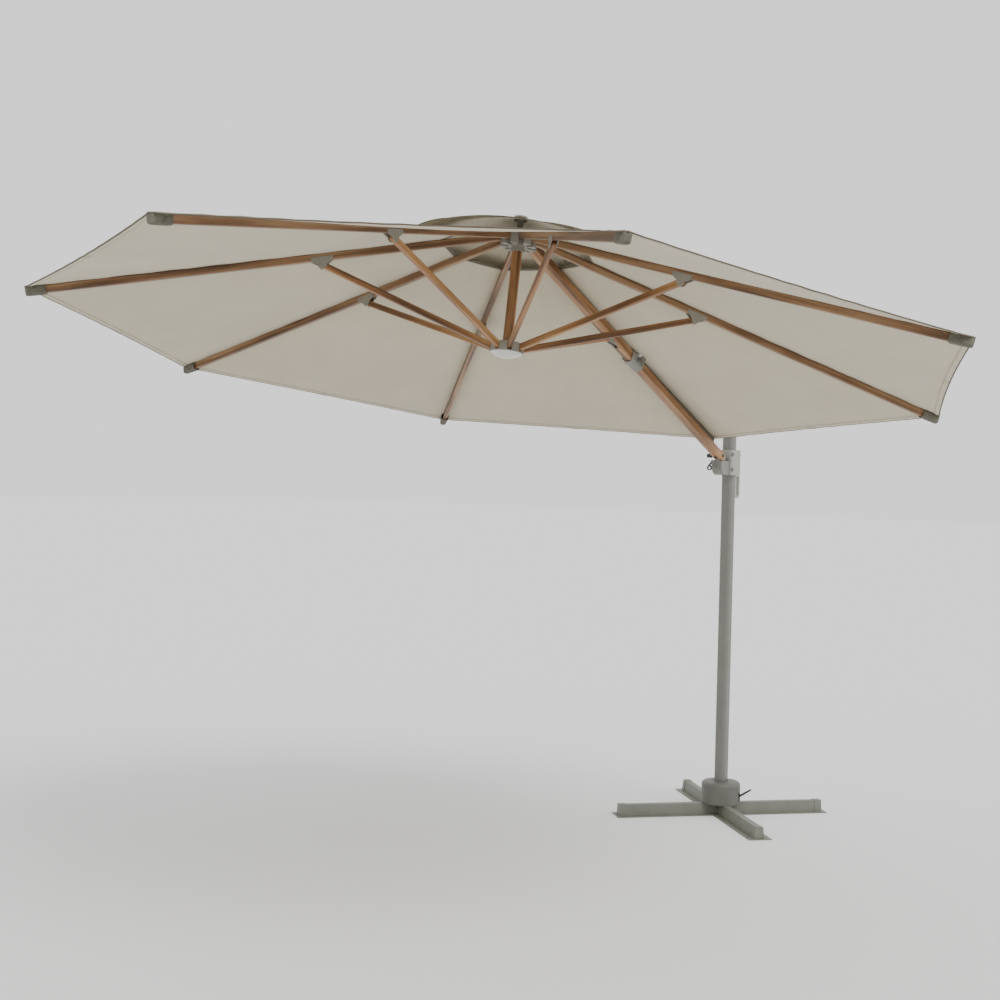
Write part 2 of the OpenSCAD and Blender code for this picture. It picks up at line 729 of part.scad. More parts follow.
// Main canopy with its vent opening and the slit that the support link passes through
slit_w = plate_gap + 2 * plate_t + 8;
module canopy() color(cloth) difference() {
    hub_frame() sheet(rings, false, hem_dip);
    arm_frame() translate([-slit_w / 2, -link_len - 4, arm_d / 2]) cube([slit_w, 64, 80]);
}

cap_swell = 10;
module vent_cap() color(cloth) hub_frame() sheet(cap_rings, true, -cap_swell);

// ---------- assembly ----------

cross_bar_long();
cross_bar_short();
bar_end_caps();
base_plate();
swivel_spindle();
base_drum();
pedal_pin();
foot_pedal();
mast_tube();
swivel_bush();
index_ring();
mast_head();
head_pin();
support_link();
carriage_left();
carriage_right();
carriage_liner();
carriage_bolts();
arm_knuckle();
knuckle_pin();
rear_handle();
lock_lever();
arm_lower_tube();
arm_upper_tube();
arm_sleeve();
sleeve_pin();
arm_foot();
arm_tip();
arm_strut_bracket();
color(teak) strut(0);  // arm_strut
top_hub();
hub_socket();
hub_pins();
lower_hub();
lower_hub_pins();
lower_hub_cap();
centre_pole();
canopy();
vent_cap();
for (i = [1:7]) {
    color(teak) rib(i);
    color(pale) rib_fittings(i);
    color(teak) strut(i);
}
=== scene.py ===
import json
import math
import bpy
from mathutils import Matrix, Vector


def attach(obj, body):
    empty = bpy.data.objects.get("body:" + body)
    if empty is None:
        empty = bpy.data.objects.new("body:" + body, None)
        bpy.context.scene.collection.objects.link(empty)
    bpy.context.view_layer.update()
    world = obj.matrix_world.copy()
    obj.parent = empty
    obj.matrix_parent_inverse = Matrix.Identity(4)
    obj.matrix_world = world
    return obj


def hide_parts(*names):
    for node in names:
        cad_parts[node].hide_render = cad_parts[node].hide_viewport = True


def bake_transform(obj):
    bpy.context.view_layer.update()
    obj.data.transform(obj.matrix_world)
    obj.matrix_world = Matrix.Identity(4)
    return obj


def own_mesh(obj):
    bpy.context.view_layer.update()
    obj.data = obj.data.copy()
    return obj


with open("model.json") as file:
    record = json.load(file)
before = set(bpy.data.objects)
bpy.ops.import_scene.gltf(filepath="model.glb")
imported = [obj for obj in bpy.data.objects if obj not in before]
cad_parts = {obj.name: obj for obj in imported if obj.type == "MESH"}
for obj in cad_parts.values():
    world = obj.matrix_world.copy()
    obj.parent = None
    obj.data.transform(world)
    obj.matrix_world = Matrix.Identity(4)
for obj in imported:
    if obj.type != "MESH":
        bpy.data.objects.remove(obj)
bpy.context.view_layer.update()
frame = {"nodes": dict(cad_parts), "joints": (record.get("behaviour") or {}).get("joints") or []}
NODES = frame["nodes"]
JOINTS = {j["name"]: j for j in frame["joints"]}


def joint_place(name):
    return Vector(JOINTS[name]["pos_m"])


# ---------- the canopy's sizes, in metres ----------
RIB_SLOPE = math.radians(15.4)  # how far a rib falls below the hub's plane
R_TIP, R_VENT = 1.75, 0.28  # the canopy's corners, and the edge of its vent
R_CAP, R_CROWN, R_EYE = 0.44, 0.19, 0.014  # the cap's corners, its crown's edge, and the finial's hole
CAP_APEX, CAP_LIFT = 0.073, 0.033  # the cap's top over the hub's plane, and its edge over the canopy
RIB_TOP = 0.016  # the cloth over a rib's pin
ARM_RISE = 0.0335  # from the arm's line of pins up to the cloth over its sleeve
ARM_GAP = 0.001  # between the arm and the cloth
RIB_INSET, PLUG_HEAD = 0.012, 0.005  # a rib stops short of the corner, and its plug's head adds to it

EDGE_SCALLOP, PANEL_SAG = 0.016, 0.012  # how far a panel curves in at its edge, and hangs between ribs
CAP_BOW, CAP_PUFF = 0.010, 0.012  # how far a cap panel curves out at its edge, and up between ribs
# Small waves: puckers along a rib's seam, ripples across a panel, and wrinkles round the sleeve.
PUCKER, PUCKER_WAVES, PUCKER_SLANT, PUCKER_FADE = 0.0011, 41, 5, 16
RIPPLE, RIPPLE_WAVES, RIPPLE_SWAY, RIPPLE_BENDS = 0.0008, 70, 2, 5
WRINKLE, WRINKLE_FOLDS, WRINKLE_REACH, WRINKLE_START = 0.0045, 9, 0.13, 0.05
HEM, VENT_HEM, CAP_HEM = 0.024, 0.020, 0.020  # cloth turned under at each edge

# ---------- the frame of the canopy, taken from the joints ----------
arm_pin = joint_place("hub_level")
far_pin = joint_place("rib_4_fold")
HUB = (arm_pin + far_pin) / 2
U = (arm_pin - far_pin).normalized()  # in the hub's plane, towards the mast
X = Vector((1, 0, 0))
N = X.cross(U)  # out of the hub's plane, upwards
PIN_R = (arm_pin - far_pin).length / 2
FOOT = joint_place("carriage_slide")
SLEEVE = joint_place("arm_fold")
ARM = (SLEEVE - FOOT).normalized()
ARM_UP = X.cross(-ARM)
LINK = (SLEEVE - FOOT).length
ARM_LEN = (arm_pin - FOOT).dot(ARM)
FALL = math.acos(min(1, -ARM.dot(U)))  # the arm's fall below the hub's plane
HALF = math.pi / 8  # half of a gore's angle
RIB_END = (R_TIP - PIN_R - RIB_INSET) / math.cos(RIB_SLOPE) + PLUG_HEAD

# The slit in the gore over the arm, where the link's plates come up through the cloth.
SLIT_HALF = 0.039
SLIT_IN, SLIT_OUT = 0.004, 0.060
SLIT_MID = PIN_R + (ARM_LEN - LINK) * math.cos(FALL) + ARM_RISE * math.sin(FALL)
SLIT_R = (SLIT_MID - SLIT_IN * math.cos(FALL), SLIT_MID + SLIT_OUT * math.cos(FALL))
SLIT_COLS, BESIDE_COLS = 4, 9  # columns across half of the slit, and from there to the gore's edge
SLIT_CLEAR = 0.016  # a row nearer than this to the slit's end would leave thin faces


def azimuth(k):
    return math.pi / 2 + k * math.pi / 4


def outward(a):
    """The direction of an azimuth in the hub's plane."""
    return X * math.cos(a) + U * math.sin(a)


def hub_point(a, r, z):
    """A point from its azimuth, radius and height in the hub's own frame."""
    return HUB + X * (r * math.cos(a)) + U * (r * math.sin(a)) + N * z


def rib_top(r):
    return RIB_TOP - (r - PIN_R) * math.tan(RIB_SLOPE)


def arm_top(r):
    return ARM_RISE / math.cos(FALL) - (r - PIN_R) * math.tan(FALL) + ARM_GAP


def cloth_z(k, r):
    """The cloth's height over rib k, or over the arm where the arm is higher."""
    return max(rib_top(r), arm_top(r)) if k % 8 == 0 else rib_top(r)


def cap_z(r):
    edge = rib_top(R_CAP) + CAP_LIFT
    return CAP_APEX - (r - R_EYE) * (CAP_APEX - edge) / (R_CAP - R_EYE)


def steps(start, end, n):
    return [start + (end - start) * i / n for i in range(n + 1)]


def facing_up(v):
    return -v if v.dot(N) < 0 else v


# ---------- materials ----------
TONE_DETAIL, RELIEF_DETAIL = 5.0, 3.0
TONE_SPAN = (0.35, 0.65)  # where on the noise the dark tone ends and the light one starts
RELIEF_DEPTH = 0.0006
THREAD_SCALE, THREAD_STRENGTH, THREAD_DEPTH = 260.0, 0.25, 0.0004


def shade(name, base, rough=0.6, metal=0.0, noise=18.0, spread=0.08, bump=0.1, bump_scale=400.0,
          stretch=None, turn=None, sheen=0.0):
    """A surface with slow changes of tone and a fine relief; stretch and turn lay its grain."""
    material = bpy.data.materials.new(name)
    material.use_nodes = True
    tree = material.node_tree
    surface = tree.nodes["Principled BSDF"]
    place = tree.nodes.new("ShaderNodeTexCoord")
    turned = tree.nodes.new("ShaderNodeMapping")
    tree.links.new(place.outputs["Object"], turned.inputs["Vector"])
    if turn is not None:
        turned.inputs["Rotation"].default_value = turn
    grain = tree.nodes.new("ShaderNodeMapping")
    grain.inputs["Scale"].default_value = stretch or (1, 1, 1)
    tree.links.new(turned.outputs["Vector"], grain.inputs["Vector"])
    tones = tree.nodes.new("ShaderNodeTexNoise")
    tones.inputs["Scale"].default_value = noise
    tones.inputs["Detail"].default_value = TONE_DETAIL
    tree.links.new(grain.outputs["Vector"], tones.inputs["Vector"])
    ramp = tree.nodes.new("ShaderNodeValToRGB")
    dark = [max(0.0, c * (1 - spread)) for c in base]
    light = [min(1.0, c * (1 + spread)) for c in base]
    for element, position, tone in zip(ramp.color_ramp.elements, TONE_SPAN, (dark, light)):
        element.position = position
        element.color = (*tone, 1)
    tree.links.new(tones.outputs["Fac"], ramp.inputs["Fac"])
    tree.links.new(ramp.outputs["Color"], surface.inputs["Base Color"])
    relief = tree.nodes.new("ShaderNodeTexNoise")
    relief.inputs["Scale"].default_value = bump_scale
    relief.inputs["Detail"].default_value = RELIEF_DETAIL
    tree.links.new(grain.outputs["Vector"], relief.inputs["Vector"])
    raised = tree.nodes.new("ShaderNodeBump")
    raised.inputs["Strength"].default_value = bump
    raised.inputs["Distance"].default_value = RELIEF_DEPTH
    tree.links.new(relief.outputs["Fac"], raised.inputs["Height"])
    tree.links.new(raised.outputs["Normal"], surface.inputs["Normal"])
    surface.inputs["Roughness"].default_value = rough
    surface.inputs["Metallic"].default_value = metal
    surface.inputs["Sheen Weight"].default_value = sheen
    return material


def linear(r, g, b):
    """A colour of 0 to 255 as the linear values that a shader takes, by the sRGB standard's own curve."""
    return tuple(((c / 255) / 12.92) if c <= 10 else (((c / 255) + 0.055) / 1.055) ** 2.4 for c in (r, g, b))


def woven(name, base, turn):
    """Plain canvas: two crossed sets of threads, turned to lie in the sheet, over slow changes of tone."""
    material = shade(name, base, rough=0.9, noise=5.0, spread=0.035, bump=0.15, bump_scale=900.0,
                     turn=turn, sheen=0.15)
    tree = material.node_tree
    turned = [n for n in tree.nodes if n.type == "MAPPING"][0]
    crossed = tree.nodes.new("ShaderNodeMath")
    crossed.operation = "ADD"
    for i, way in enumerate(("X", "Y")):
        threads = tree.nodes.new("ShaderNodeTexWave")
        threads.bands_direction = way
        threads.inputs["Scale"].default_value = THREAD_SCALE
        tree.links.new(turned.outputs["Vector"], threads.inputs["Vector"])
        tree.links.new(threads.outputs["Fac"], crossed.inputs[i])
    relief = [n for n in tree.nodes if n.type == "BUMP"][0]
    weave = tree.nodes.new("ShaderNodeBump")
    weave.inputs["Strength"].default_value = THREAD_STRENGTH
    weave.inputs["Distance"].default_value = THREAD_DEPTH
    tree.links.new(crossed.outputs["Value"], weave.inputs["Height"])
    tree.links.new(relief.outputs["Normal"], weave.inputs["Normal"])
    tree.links.new(weave.outputs["Normal"], tree.nodes["Principled BSDF"].inputs["Normal"])
    return material


def frame_turn(along, up):
    """Turn that lays the material's X along a direction and its Z near another."""
    a = Vector(along).normalized()
    c = (Vector(up) - a * a.dot(Vector(up))).normalized()
    return Matrix((a, c.cross(a), c)).to_euler()


ARM_TONES = ((84, 56, 34), (138, 97, 60), (172, 132, 88))
RIB_TONES = ((80, 56, 38), (120, 88, 61), (150, 118, 86))


def teak(name, along, up, tones=ARM_TONES):
    """Printed wood: dark, middle and light streaks that run along the piece."""
    material = shade(name, linear(*tones[1]), rough=0.42, noise=42.0, bump=0.12, bump_scale=160.0,
                     stretch=(0.05, 1.0, 1.0), turn=frame_turn(along, up))
    ramp = [n for n in material.node_tree.nodes if n.type == "VALTORGB"][0].color_ramp
    ramp.elements.new(0.5)
    for element, tone in zip(ramp.elements, tones):
        element.color = (*linear(*tone), 1)
    return material


CANVAS = linear(190, 181, 157)
GREY = shade("mast_paint", linear(112, 111, 105), rough=0.38, metal=0.15, spread=0.04,
             bump=0.05, bump_scale=1500)
BASE = shade("base_paint", linear(108, 109, 99), rough=0.5, spread=0.07, bump=0.1, bump_scale=900)
DRUM = shade("drum_plastic", linear(92, 91, 85), rough=0.5, spread=0.05, bump=0.1, bump_scale=900)
PALE = shade("carriage_plastic", linear(150, 149, 141), rough=0.45, spread=0.03, bump=0.06, bump_scale=900)
KNUCKLE = shade("knuckle_plastic", linear(124, 123, 116), rough=0.5, spread=0.04, bump=0.06, bump_scale=900)
HUBGREY = shade("hub_plastic", linear(132, 129, 119), rough=0.5, spread=0.05, bump=0.06, bump_scale=900)
BLACK = shade("black_plastic", linear(44, 43, 41), rough=0.5, spread=0.15, bump=0.1, bump_scale=700)
STEEL = shade("pin_steel", linear(120, 119, 115), rough=0.35, metal=0.8, spread=0.08,
              bump=0.04, bump_scale=900)
BOLT = shade("bolt_grey", linear(118, 117, 111), rough=0.4, metal=0.5, spread=0.06, bump=0.04, bump_scale=900)
SILVER = shade("cap_silver", linear(205, 203, 198), rough=0.3, metal=0.2, spread=0.03,
               bump=0.03, bump_scale=900)
# Dark binding for the hems; the same colour is painted shade in the strip over the arm and round the vent.
BINDING_AND_SHADE = shade("dark_binding_and_painted_shade", linear(92, 85, 70), rough=0.9, noise=30, spread=0.1, bump=0.4, bump_scale=1400)
WEBBING = shade("pocket_webbing", linear(96, 94, 82), rough=0.9, noise=60, spread=0.2,
                bump=0.5, bump_scale=1200)
THREAD = shade("seam_thread", linear(160, 150, 130), rough=0.8, noise=40, spread=0.1,
               bump=0.2, bump_scale=2000)


def paint(material, *names):
    for name in names:
        NODES[name].data.materials.clear()
        NODES[name].data.materials.append(material)


def rib_direction(k):
    return outward(azimuth(k)) * math.cos(RIB_SLOPE) - N * math.sin(RIB_SLOPE)


def paint_frame():
    paint(GREY, "mast_tube", "index_ring", "support_link")
    paint(PALE, "carriage_left", "carriage_right", "mast_head", "rear_handle")
    paint(KNUCKLE, "arm_knuckle", "arm_sleeve", "arm_foot")
    paint(BASE, "cross_bar_long", "cross_bar_short", "base_plate", "bar_end_caps")
    paint(DRUM, "base_drum")
    paint(BLACK, "foot_pedal", "lock_lever", "carriage_liner", "swivel_bush", "knuckle_pin")
    paint(BOLT, "carriage_bolts")
    paint(STEEL, "pedal_pin", "head_pin", "sleeve_pin", "hub_pins", "lower_hub_pins", "swivel_spindle")
    paint(HUBGREY, "top_hub", "lower_hub", "hub_socket", "arm_strut_bracket", "arm_tip")
    paint(SILVER, "lower_hub_cap")
    paint(teak("teak_arm", ARM, ARM_UP), "arm_lower_tube", "arm_upper_tube")
    paint(teak("teak_pole", N, X), "centre_pole")
    strut_root = joint_place("lower_hub_slide")
    paint(teak("teak_strut_0", joint_place("strut_0_fold") - strut_root, N), "arm_strut")
    for k in range(1, 8):
        paint(teak(f"teak_rib_{k}", rib_direction(k), N, RIB_TONES), f"rib_{k}")
        paint(HUBGREY, f"rib_fittings_{k}")
        low = HUB + outward(azimuth(k)) * PIN_R - N * ((HUB - strut_root).dot(N))
        paint(teak(f"teak_strut_{k}", joint_place(f"strut_{k}_fold") - low, N), f"strut_{k}")


# ---------- mesh helpers ----------
def mesh(name, verts, faces, mats, which=None, smooth=True):
    me = bpy.data.meshes.new(name)
    me.from_pydata([tuple(v) for v in verts], [], faces)
    for m in mats:
        me.materials.append(m)
    if which:
        me.polygons.foreach_set("material_index", which)
    if smooth:
        me.polygons.foreach_set("use_smooth", [True] * len(me.polygons))
    me.update()
    o = bpy.data.objects.new(name, me)
    bpy.context.scene.collection.objects.link(o)
    return o


BAND_FLAT = 0.42  # half width of a band's flat face, as a share of the band's width


def band(points, ups, sides, width, thick, closed=False):
    """A flat band with bevelled edges swept along points: width along sides, thickness along ups."""
    flat = BAND_FLAT
    ring = [(0.5, 0.0), (flat, 0.5), (-flat, 0.5), (-0.5, 0.0), (-flat, -0.5), (flat, -0.5)]
    v, f = [], []
    for p, up, side in zip(points, ups, sides):
        for a, b in ring:
            v.append(p + side * (a * width) + up * (b * thick))
    n, c = len(points), len(ring)
    for i in range(n if closed else n - 1):
        j = (i + 1) % n
        for q in range(c):
            f.append((i * c + q, i * c + (q + 1) % c, j * c + (q + 1) % c, j * c + q))
    if not closed:
        f.append(tuple(range(c - 1, -1, -1)))
        f.append(tuple((n - 1) * c + q for q in range(c)))
    return v, f


def join(parts):
    """Parts of (points, faces, material slot) as one mesh, with each face's slot."""
    v, f, w = [], [], []
    for points, faces, slot in parts:
        base = len(v)
        v += points
        f += [tuple(i + base for i in q) for q in faces]
        w += [slot] * len(faces)
    return v, f, w


# ---------- the cloth's surfaces ----------
def sleeve_wrinkle(r, f):
    """Folds that spread from the sleeve and die out before the gore's edges."""
    across = 2 * f * r * math.cos(HALF) * math.sin(HALF)
    along = r - SLIT_MID
    far = math.hypot(across, along)
    fold = math.sin(WRINKLE_FOLDS * math.atan2(along, across + 0.001))
    fade = math.exp(-far / WRINKLE_REACH)
    return WRINKLE * fold * fade * (1 - math.exp(-far / WRINKLE_START)) * (1 - 4 * f * f)


def main_cloth(k, g, r):
    """Main canopy at gore k, g from -1 to 1 across it, at ring r."""
    side = 1 if g >= 0 else -1
    f = abs(g) / 2
    a0, a1 = azimuth(k), azimuth(k + side)
    p = hub_point(a0, r, cloth_z(k, r)) * (1 - f) + hub_point(a1, r, cloth_z(k + side, r)) * f
    s = (r - R_VENT) / (R_TIP - R_VENT)
    hump = 4 * f * (1 - f)
    p -= outward((a0 + a1) / 2) * (EDGE_SCALLOP * hump * max(0.0, s) ** 3)
    p -= N * (PANEL_SAG * hump * math.sin(math.pi * min(1, max(0, s))))
    relief = PUCKER * math.sin(r * PUCKER_WAVES + PUCKER_SLANT * f) * math.exp(-f * PUCKER_FADE)
    relief += RIPPLE * math.sin(f * RIPPLE_WAVES + RIPPLE_SWAY * math.sin(r * RIPPLE_BENDS)) * s
    if k == 0:
        relief += sleeve_wrinkle(r, f)
    return p + N * relief


def cap_cloth(k, g, r):
    """Vent cap at gore k, g from -1 to 1 across it, at ring r."""
    side = 1 if g >= 0 else -1
    f = abs(g) / 2
    a0, a1 = azimuth(k), azimuth(k + side)
    p = hub_point(a0, r, cap_z(r)) * (1 - f) + hub_point(a1, r, cap_z(r)) * f
    s = r / R_CAP
    p += outward((a0 + a1) / 2) * (CAP_BOW * 4 * f * (1 - f) * s)
    return p + N * (CAP_PUFF * 4 * f * (1 - f) * s * s)


# ---------- hems and seams: width, thickness, how far in from the edge, material slot ----------
CLOTH_SLOT, BINDING_AND_SHADE_SLOT, THREAD_SLOT = 0, 1, 2
EDGE_TRIM = [(HEM, 0.0032, HEM / 2, CLOTH_SLOT), (0.005, 0.0042, 0.0005, BINDING_AND_SHADE_SLOT),
             (0.0014, 0.0044, 0.021, THREAD_SLOT)]
# The vent's whole hem takes the dark binding colour, unlike the other hems: painted shade round the vent,
# under the cap.
VENT_TRIM = [(VENT_HEM, 0.0032, VENT_HEM / 2, BINDING_AND_SHADE_SLOT), (0.0014, 0.0044, 0.017, THREAD_SLOT)]
EYE_TRIM = [(0.012, 0.003, 0.006, BINDING_AND_SHADE_SLOT)]
CAP_TRIM = [(CAP_HEM, 0.003, CAP_HEM / 2, CLOTH_SLOT), (0.004, 0.004, 0.0005, BINDING_AND_SHADE_SLOT),
            (0.0014, 0.0042, 0.018, THREAD_SLOT)]
SLIT_TRIM = (0.010, 0.0030)
SEAM_WIDTH, SEAM_THICK, SEAM_LIFT = 0.020, 0.0018, 0.0006
STITCH_WIDTH, STITCH_THICK, STITCH_LIFT, STITCH_SHIFT = 0.0013, 0.0026, 0.0008, 0.007


def edge_band(grid, row, width, thick, shift):
    """A band along the first or last row of a sheet, shifted in from its edge."""
    edge, inner = grid[row], grid[row - 1 if row else 1]
    last = len(edge) - 1
    points, ups, sides = [], [], []
    for j, here in enumerate(edge):
        back = (inner[j] - here).normalized()
        run = edge[min(j + 1, last)] - edge[max(j - 1, 0)]
        points.append(here + back * shift)
        ups.append(facing_up(back.cross(run).normalized()))
        sides.append(back)
    return band(points, ups, sides, width, thick)


def gore(surface, k, rows, cols, trim, cut=None):
    """One gore as a single curved sheet with its hems, trim as (row, band); cut(r, j) leaves a face out."""
    grid = [[surface(k, g, r) for g in cols(r)] for r in rows]
    w = len(grid[0])
    v = [p for row in grid for p in row]
    f = []
    for i in range(len(rows) - 1):
        for j in range(w - 1):
            if cut is None or not cut((rows[i] + rows[i + 1]) / 2, j):
                f.append((i * w + j, i * w + j + 1, (i + 1) * w + j + 1, (i + 1) * w + j))
    parts = [(v, f, CLOTH_SLOT)]
    for row, (width, thick, shift, slot) in trim:
        parts.append((*edge_band(grid, row, width, thick, shift), slot))
    return parts, grid, flat_area(f, v)


def flat_area(faces, verts):
    total = 0.0
    for q in faces:
        a, b, c, d = (Vector(verts[i]) for i in q)
        total += ((b - a).cross(c - a)).length / 2 + ((c - a).cross(d - a)).length / 2
    return total


def seam_runs(rows, slit):
    """The rows that a rib's seam covers: all of them, or those on each side of the slit."""
    if not slit:
        return [range(len(rows))]
    inner = [i for i, r in enumerate(rows) if r <= SLIT_R[0]]
    outer = [i for i, r in enumerate(rows) if r >= SLIT_R[1]]
    return [inner, outer]


def rib_seam(grid, runs):
    """The flat seam over the rib, down the middle of the gore, and its two rows of stitching."""
    mid = len(grid[0]) // 2
    parts = []
    for run in runs:
        points = [grid[i][mid] for i in run]
        sides = [(grid[i][mid + 1] - grid[i][mid - 1]).normalized() for i in run]
        ups = []
        for n, side in enumerate(sides):
            along = points[min(n + 1, len(points) - 1)] - points[max(n - 1, 0)]
            ups.append(facing_up(along.cross(side).normalized()))
        felled = [p + up * SEAM_LIFT for p, up in zip(points, ups)]
        parts.append((*band(felled, ups, sides, SEAM_WIDTH, SEAM_THICK), CLOTH_SLOT))
        for shift in (-STITCH_SHIFT, STITCH_SHIFT):
            line = [p + up * STITCH_LIFT + side * shift for p, up, side in zip(points, ups, sides)]
            parts.append((*band(line, ups, sides, STITCH_WIDTH, STITCH_THICK), THREAD_SLOT))
    return parts


def seam_piece(name, grid, runs, cloth, body):
    """The seam of a gore as its own piece, which moves as its gore does."""
    v, f, w = join(rib_seam(grid, runs))
    o = mesh(name, v, f, [cloth, BINDING_AND_SHADE, THREAD], w)
    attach(o, body)
    return o


# ---------- the canopy and the vent cap ----------
def even_cols(n):
    """n equal columns on each side of the rib, at every ring."""
    return lambda r: [i / n for i in range(-n, n + 1)]


def arm_cols(r):
    """Columns of the gore over the arm, with straight ones beside the link's slit."""
    half = r * math.cos(HALF) * math.sin(HALF)
    inner = steps(0, SLIT_HALF, SLIT_COLS)
    outer = steps(SLIT_HALF, half, BESIDE_COLS)[1:]
    g = [min(1.0, t / half) for t in inner + outer]
    return [-x for x in reversed(g[1:])] + g


MAIN_COLS, CROWN_COLS, CAP_COLS = 12, 4, 8
MAIN_ROWS = steps(R_VENT, R_TIP, 48)
clear_rows = [r for r in MAIN_ROWS if min(abs(r - x) for x in SLIT_R) > SLIT_CLEAR]
SLIT_ROWS = sorted(clear_rows + list(SLIT_R))
CROWN_ROWS = steps(R_EYE, R_CROWN, 8)
CAP_ROWS = steps(R_CROWN, R_CAP, 12)


def slit_edge(grid, rows, mid):
    """A band sewn round the edge of the slit."""
    i0, i1 = rows.index(SLIT_R[0]), rows.index(SLIT_R[1])
    left, right = mid - SLIT_COLS, mid + SLIT_COLS
    loop = [(i0, j) for j in range(left, right + 1)] + [(i, right) for i in range(i0 + 1, i1 + 1)]
    loop += [(i1, j) for j in range(right - 1, left - 1, -1)] + [(i, left) for i in range(i1 - 1, i0, -1)]
    points = [grid[i][j] for i, j in loop]
    centre = sum(points, Vector()) / len(points)
    sides = [(p - centre).normalized() for p in points]
    return band(points, [N] * len(points), sides, *SLIT_TRIM, closed=True)


def canopy_gore(k, body, cloth):
    """One gore of the main canopy. Gore 0 lies over the arm and has the slit for the link."""
    slit = k == 0
    rows = SLIT_ROWS if slit else MAIN_ROWS
    cols = arm_cols if slit else even_cols(MAIN_COLS)
    mid = len(cols(R_TIP)) // 2
    cut = None
    if slit:
        cut = lambda r, j: SLIT_R[0] < r < SLIT_R[1] and mid - SLIT_COLS <= j < mid + SLIT_COLS
    trim = [(len(rows) - 1, b) for b in EDGE_TRIM] + [(0, b) for b in VENT_TRIM]
    parts, grid, area = gore(main_cloth, k, rows, cols, trim, cut)
    if slit:
        parts.append((*slit_edge(grid, rows, mid), CLOTH_SLOT))
    v, f, w = join(parts)
    o = mesh(f"canopy_gore_{k}", v, f, [cloth, BINDING_AND_SHADE, THREAD], w)
    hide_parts("canopy")
    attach(o, body)
    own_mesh(o)
    seam = seam_piece(f"canopy_seam_{k}", grid, seam_runs(rows, slit), cloth, body)


def vent_crown(k, cloth):
    """The cap's crown at gore k, from the finial's hole out to the cap's outer gores."""
    parts, grid, area = gore(cap_cloth, k, CROWN_ROWS, even_cols(CROWN_COLS), [(0, b) for b in EYE_TRIM])
    v, f, w = join(parts)
    o = mesh(f"vent_crown_{k}", v, f, [cloth, BINDING_AND_SHADE, THREAD], w)
    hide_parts("vent_cap")
    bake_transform(o)


def vent_gore(k, body, cloth):
    """One outer gore of the vent cap."""
    trim = [(len(CAP_ROWS) - 1, b) for b in CAP_TRIM]
    parts, grid, area = gore(cap_cloth, k, CAP_ROWS, even_cols(CAP_COLS), trim)
    v, f, w = join(parts)
    o = mesh(f"vent_gore_{k}", v, f, [cloth, BINDING_AND_SHADE, THREAD], w)
    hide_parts("vent_cap")
    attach(o, body)
    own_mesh(o)
    seam = seam_piece(f"vent_seam_{k}", grid, seam_runs(CAP_ROWS, False), cloth, body)


# ---------- a dark strip of painted shade over the arm, and the pockets over the rib ends ---
# Sizes of the dark strip of painted shade between the arm and the cloth.
ARM_SHADE_START, ARM_SHADE_INSET, ARM_SHADE_STEPS = 1.0, 0.012, 30
ARM_SHADE_HALF, ARM_SHADE_UNDER, ARM_SHADE_INTO_ARM = 0.003, 0.001, 0.0035
# How far past the rib's end, then half width, depth below and height above the rib's line.
POCKET = [(-0.070, 0.0175, 0.0185, 0.0160), (-0.040, 0.0170, 0.0182, 0.0158),
          (-0.008, 0.0150, 0.0175, 0.0156), (0.0015, 0.0125, 0.0160, 0.0150),
          (0.0030, 0.004, 0.006, 0.008)]
POCKET_SIDES, POCKET_ROUND = 20, 0.5


def arm_painted_shade_strip():
    """A dark strip under the cloth above the arm's lower half, closing the wedge between arm and cloth:
    painted shade for the shadow there.
    """
    v, f = [], []
    for r in steps(ARM_SHADE_START, R_TIP - ARM_SHADE_INSET, ARM_SHADE_STEPS):
        top = hub_point(azimuth(0), r, cloth_z(0, r) - ARM_SHADE_UNDER)
        bottom = hub_point(azimuth(0), r, arm_top(r) - ARM_SHADE_INTO_ARM)
        for x in (-ARM_SHADE_HALF, ARM_SHADE_HALF):
            v += [top + X * x, bottom + X * x]
    for i in range(ARM_SHADE_STEPS):
        a, b = i * 4, i * 4 + 4
        f += [(a, a + 1, b + 1, b), (a + 3, a + 2, b + 2, b + 3)]
        f += [(a + 2, a, b, b + 2), (a + 1, a + 3, b + 3, b + 1)]
    end = 4 * ARM_SHADE_STEPS
    f += [(0, 2, 3, 1), (end, end + 1, end + 3, end + 2)]
    o = mesh("arm_painted_shade_strip", v, f, [BINDING_AND_SHADE], smooth=False)
    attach(o, "arm")


def rib_pocket(k):
    """A sewn pocket over the end of rib k, open towards the hub."""
    pin = joint_place(f"rib_{k}_fold")
    along = rib_direction(k)
    across = N.cross(outward(azimuth(k)))
    up = facing_up(along.cross(across))
    m = POCKET_SIDES
    v, f = [], []
    for past, half, low, high in POCKET:
        for j in range(m):
            t = 2 * math.pi * j / m
            c, s = math.cos(t), math.sin(t)
            sx = math.copysign(abs(c) ** POCKET_ROUND, c) * half
            sz = math.copysign(abs(s) ** POCKET_ROUND, s) * (high if s > 0 else low)
            v.append(pin + along * (RIB_END + past) + across * sx + up * sz)
    for i in range(len(POCKET) - 1):
        for j in range(m):
            f.append((i * m + j, i * m + (j + 1) % m, (i + 1) * m + (j + 1) % m, (i + 1) * m + j))
    f.append(tuple((len(POCKET) - 1) * m + j for j in range(m)))
    o = mesh(f"pocket_{k}", v, f, [WEBBING])
    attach(o, f"rib_{k}")


# ---------- light, floor, camera ----------
FLOOR_HALF, FLOOR_TONE, FLOOR_ROUGH = 60, 0.80, 0.9
SKY_STRENGTH = 1.25
SUN_ENERGY, SUN_SPREAD, SUN_TURN = 1.6, 0.5, (38, 20, 50)
# The camera's place was solved from the photo, with the canopy's radius held at R_TIP. Turns are in degrees.
CAMERA_PLACE = (3.1182, -6.3056, 1.6048)
CAMERA_YAW, CAMERA_PITCH, CAMERA_ROLL = -35.32, -0.93, 1.31
CAMERA_LENS, CAMERA_SENSOR, CAMERA_REACH = 51.79, 36.0, 200


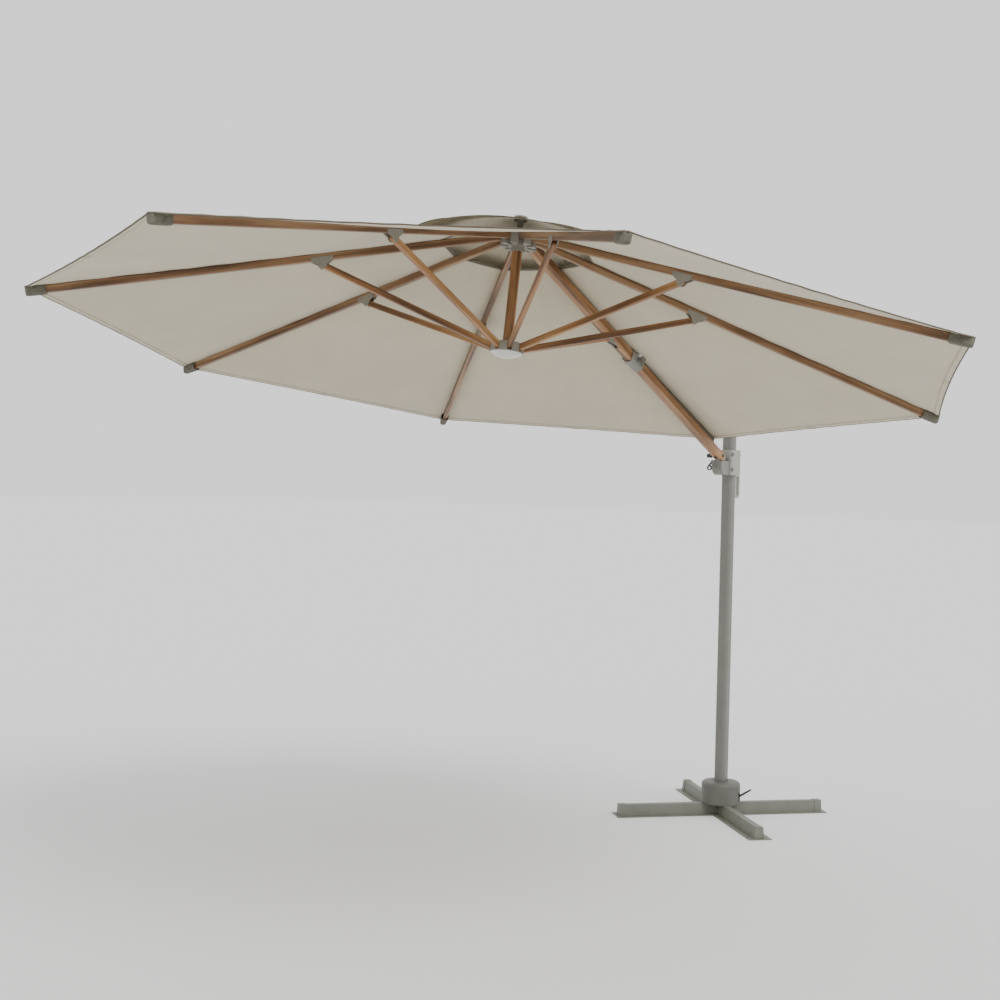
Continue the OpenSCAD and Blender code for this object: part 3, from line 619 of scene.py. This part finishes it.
def studio():
    """A pale floor, an even white sky and one soft sun."""
    paper = bpy.data.materials.new("floor")
    paper.use_nodes = True
    surface = paper.node_tree.nodes["Principled BSDF"]
    surface.inputs["Base Color"].default_value = (FLOOR_TONE, FLOOR_TONE, FLOOR_TONE, 1)
    surface.inputs["Roughness"].default_value = FLOOR_ROUGH
    h = FLOOR_HALF
    corners = [(-h, -h, 0), (h, -h, 0), (h, h, 0), (-h, h, 0)]
    floor = mesh("floor", corners, [(0, 1, 2, 3)], [paper], smooth=False)
    world = bpy.data.worlds.new("studio")
    bpy.context.scene.world = world
    world.use_nodes = True
    sky = world.node_tree.nodes["Background"]
    sky.inputs["Color"].default_value = (1, 1, 1, 1)
    sky.inputs["Strength"].default_value = SKY_STRENGTH
    sun_data = bpy.data.lights.new("key", "SUN")
    sun_data.energy = SUN_ENERGY
    sun_data.angle = SUN_SPREAD
    sun = bpy.data.objects.new("key", sun_data)
    sun.rotation_euler = tuple(math.radians(d) for d in SUN_TURN)
    bpy.context.scene.collection.objects.link(sun)


def camera():
    yaw, pitch, roll = (math.radians(d) for d in (CAMERA_YAW, CAMERA_PITCH, CAMERA_ROLL))
    forward = Vector((math.sin(yaw) * math.cos(pitch), math.cos(yaw) * math.cos(pitch), math.sin(pitch)))
    level = Vector((math.cos(yaw), -math.sin(yaw), 0))
    upright = level.cross(forward)
    right = level * math.cos(roll) + upright * math.sin(roll)
    up = upright * math.cos(roll) - level * math.sin(roll)
    data = bpy.data.cameras.new("camera")
    data.sensor_width = CAMERA_SENSOR
    data.lens = CAMERA_LENS
    data.clip_end = CAMERA_REACH
    o = bpy.data.objects.new("camera", data)
    place = Matrix((right, up, -forward)).transposed().to_4x4()
    place.translation = Vector(CAMERA_PLACE)
    o.matrix_world = place
    bpy.context.scene.collection.objects.link(o)
    bpy.context.scene.camera = o


paint_frame()
for k in range(8):
    body = "arm" if k == 0 else f"rib_{k}"
    cloth = woven(f"canvas_{k}", CANVAS, frame_turn(rib_direction(k), N))
    canopy_gore(k, body, cloth)
    vent_crown(k, cloth)
    vent_gore(k, body, cloth)
arm_painted_shade_strip()
for k in range(1, 8):
    rib_pocket(k)
studio()
camera()
